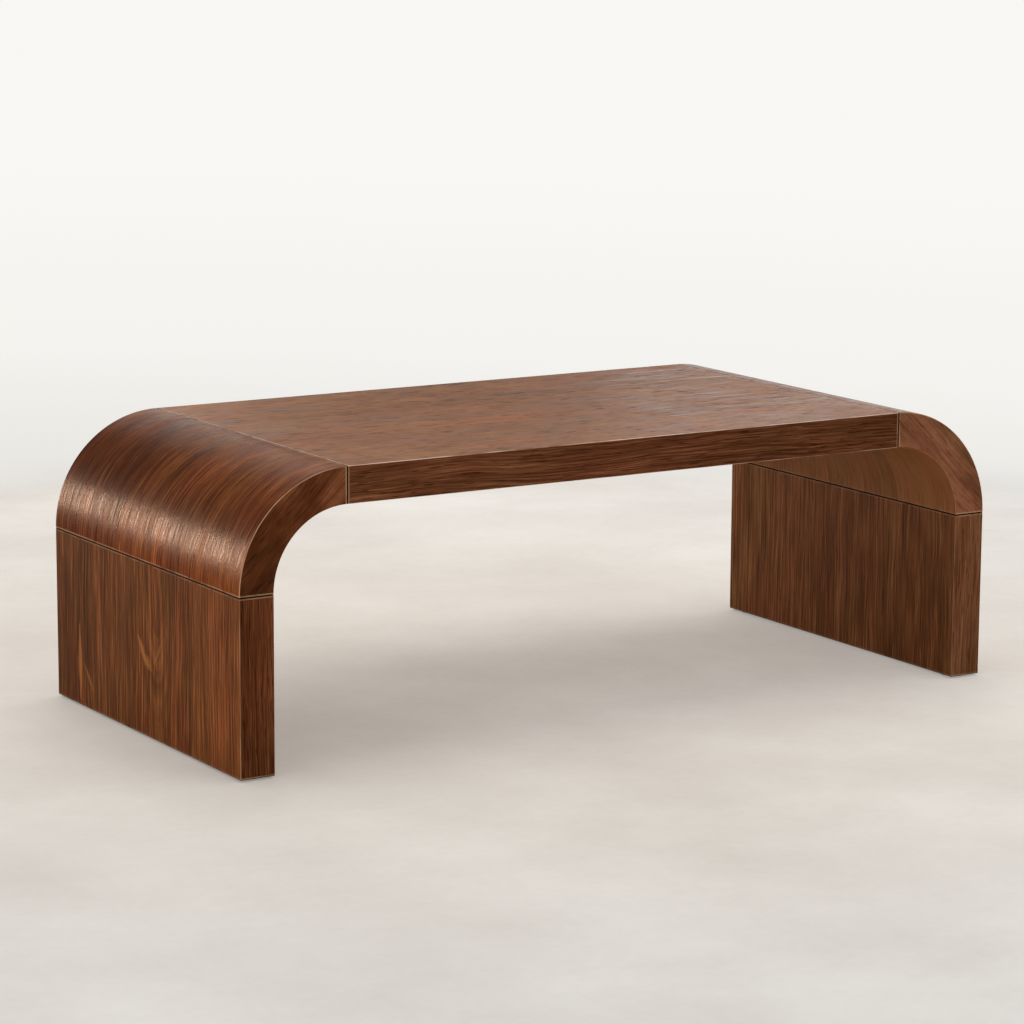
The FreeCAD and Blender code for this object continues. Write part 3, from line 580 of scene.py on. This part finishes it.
def make_floor():
    n = Nodes("studio_floor")
    spot = n.add("TexCoord").outputs["Object"]
    cloud = n.noise(n.scaled(spot, 2.2, 2.2, 2.2), 4.0, 0.6)
    speck = n.noise(n.scaled(spot, 60, 60, 60), 3.0)
    value = n.math("MULTIPLY_ADD", speck, 0.15, n.math("MULTIPLY", cloud, 0.85))
    colour = n.ramp(value, [(0.3, (0.665, 0.61, 0.55)), (0.7, (0.795, 0.745, 0.685))])
    shader = n.add("BsdfPrincipled", {"Base Color": colour, "Roughness": 0.8,
                                      "Specular IOR Level": 0.0})
    radius = n.length(spot)
    colour = n.mix(n.smooth(radius, *FAR), colour, (*FAR_CAST, 1.0), "MULTIPLY")
    x, y, _ = n.parts(spot)
    # painted light and shade across the floor, in the colour that is seen
    rightwards = n.math("MULTIPLY_ADD", y, CAST_LEAN, x)
    painted_light_tint = n.mix(n.smooth(rightwards, *CAST_REACH), (*LEFT_PAINTED_SHADE, 1.0), (*RIGHT_PAINTED_LIGHT, 1.0))
    colour = n.mix(1.0, colour, painted_light_tint, "MULTIPLY")
    beyond = n.math("SUBTRACT", n.math("MULTIPLY_ADD", x, BACKDROP_LEAN, radius), FADE[1])
    far = n.ramp(n.math("DIVIDE", beyond, BACKDROP_DEPTH, clamp=True), BACKDROP)
    fade = n.smooth(radius, *FADE)
    glow = n.add("Emission", {"Color": n.mix(fade, colour, far)})
    rays = n.add("LightPath").outputs
    seen = n.math("MAXIMUM", rays["Is Camera Ray"], rays["Is Glossy Ray"])
    seen = n.math("MAXIMUM", seen, rays["Is Transmission Ray"])
    share = n.math("MULTIPLY_ADD", fade, 1 - SHADOW_FILL, SHADOW_FILL)
    share = n.math("MULTIPLY", share, seen)
    both = n.add("MixShader", {0: share, 1: shader.outputs[0], 2: glow.outputs[0]})
    n.add("OutputMaterial", {"Surface": both.outputs[0]})
    mesh = bmesh.new()
    bmesh.ops.create_circle(mesh, cap_ends=True, segments=FLOOR_STEPS, radius=FLOOR_REACH)
    data = bpy.data.meshes.new("studio_floor")
    mesh.to_mesh(data)
    mesh.free()
    data.materials.append(n.material)
    floor = bpy.data.objects.new("studio_floor", data)
    bpy.context.scene.collection.objects.link(floor)


def aim(place, target):
    return (Vector(place) - Vector(target)).to_track_quat("Z", "Y").to_euler()


def soft_light(name, place, target, width, height, power, colour=(1.0, 1.0, 1.0)):
    data = bpy.data.lights.new(name, "AREA")
    data.shape = "RECTANGLE"
    data.size, data.size_y = width, height
    data.energy = power
    data.color = colour
    lamp = bpy.data.objects.new(name, data)
    lamp.location = place
    lamp.rotation_euler = aim(place, target)
    lamp.visible_camera = False
    bpy.context.scene.collection.objects.link(lamp)
    return lamp


FILL_COLOUR = (1.0, 0.985, 0.96)
FILL_HEIGHTS, FILL_STRENGTHS = (0.0, 0.6), (1.5, 0.70)  # stronger near the horizon


def make_world():
    world = bpy.data.worlds.new("studio")
    bpy.context.scene.world = world
    world.use_nodes = True
    tree = world.node_tree
    tree.nodes.clear()
    rays = tree.nodes.new("ShaderNodeLightPath").outputs
    direct = tree.nodes.new("ShaderNodeMath")
    seen = tree.nodes.new("ShaderNodeMath")
    direct.operation = seen.operation = "MAXIMUM"
    tree.links.new(rays["Is Camera Ray"], direct.inputs[0])
    tree.links.new(rays["Is Glossy Ray"], direct.inputs[1])
    tree.links.new(direct.outputs[0], seen.inputs[0])
    tree.links.new(rays["Is Transmission Ray"], seen.inputs[1])
    fill = tree.nodes.new("ShaderNodeBackground")
    fill.inputs["Color"].default_value = (*FILL_COLOUR, 1.0)
    spot = tree.nodes.new("ShaderNodeTexCoord")
    split = tree.nodes.new("ShaderNodeSeparateXYZ")
    tree.links.new(spot.outputs["Generated"], split.inputs[0])
    height = tree.nodes.new("ShaderNodeMapRange")
    levels = zip(("From Min", "From Max", "To Min", "To Max"), FILL_HEIGHTS + FILL_STRENGTHS)
    for name, value in levels:
        height.inputs[name].default_value = value
    tree.links.new(split.outputs["Z"], height.inputs["Value"])
    tree.links.new(height.outputs["Result"], fill.inputs["Strength"])
    backdrop = tree.nodes.new("ShaderNodeBackground")
    backdrop.inputs["Color"].default_value = (*BACKDROP[-1][1], 1.0)
    mix = tree.nodes.new("ShaderNodeMixShader")
    tree.links.new(seen.outputs[0], mix.inputs[0])
    tree.links.new(fill.outputs[0], mix.inputs[1])
    tree.links.new(backdrop.outputs[0], mix.inputs[2])
    output = tree.nodes.new("ShaderNodeOutputWorld")
    tree.links.new(mix.outputs[0], output.inputs["Surface"])


CAMERA_PLACE = Vector((-2.836, -4.539, 1.266))
CAMERA_YAW, CAMERA_PITCH, CAMERA_ROLL = (math.radians(a) for a in (31.758, 10.52, 0.331))
CAMERA_LENS, CAMERA_SENSOR = 124.95, 36.0  # millimetres


def make_camera():
    data = bpy.data.cameras.new("camera")
    data.lens = CAMERA_LENS
    data.sensor_width = CAMERA_SENSOR
    data.clip_end = 2 * FLOOR_REACH
    camera = bpy.data.objects.new("camera", data)
    level = math.cos(CAMERA_PITCH)
    ahead = Vector((math.sin(CAMERA_YAW) * level, math.cos(CAMERA_YAW) * level,
                    -math.sin(CAMERA_PITCH)))
    flat_right = Vector((math.cos(CAMERA_YAW), -math.sin(CAMERA_YAW), 0))
    flat_up = flat_right.cross(ahead)
    right = math.cos(CAMERA_ROLL) * flat_right + math.sin(CAMERA_ROLL) * flat_up
    up = right.cross(ahead)
    camera.rotation_euler = Matrix((right, up, -ahead)).transposed().to_euler()
    camera.location = CAMERA_PLACE
    bpy.context.scene.collection.objects.link(camera)
    bpy.context.scene.camera = camera


TABLE_MIDDLE = (0, 0, TABLE_TOP / 2)
LEFT_BEND = (-0.56, -0.1, 0.35)

make_floor()
make_world()
soft_light("overhead", (0.2, 0.0, 3.4), TABLE_MIDDLE, 2.4, 2.4, 34)
soft_light("left_window", (-2.34, 3.4, 0.95), LEFT_BEND, 1.8, 1.3, 9)
soft_light("back_panel", (0.6, 3.5, 1.8), TABLE_MIDDLE, 1.3, 2.4, 25, (1.0, 0.87, 0.77))
soft_light("right_panel", (3.4, 3.4, 1.2), TABLE_MIDDLE, 1.7, 1.2, 15)
gleam = soft_light("gleam", (-2.65, 3.4, 0.79), LEFT_BEND, 1.2, 0.8, 470, (1.0, 0.70, 0.50))
gleam.visible_diffuse = False  # it makes only the highlight on the left bend
make_camera()
bpy.context.scene.view_settings.view_transform = "Standard"
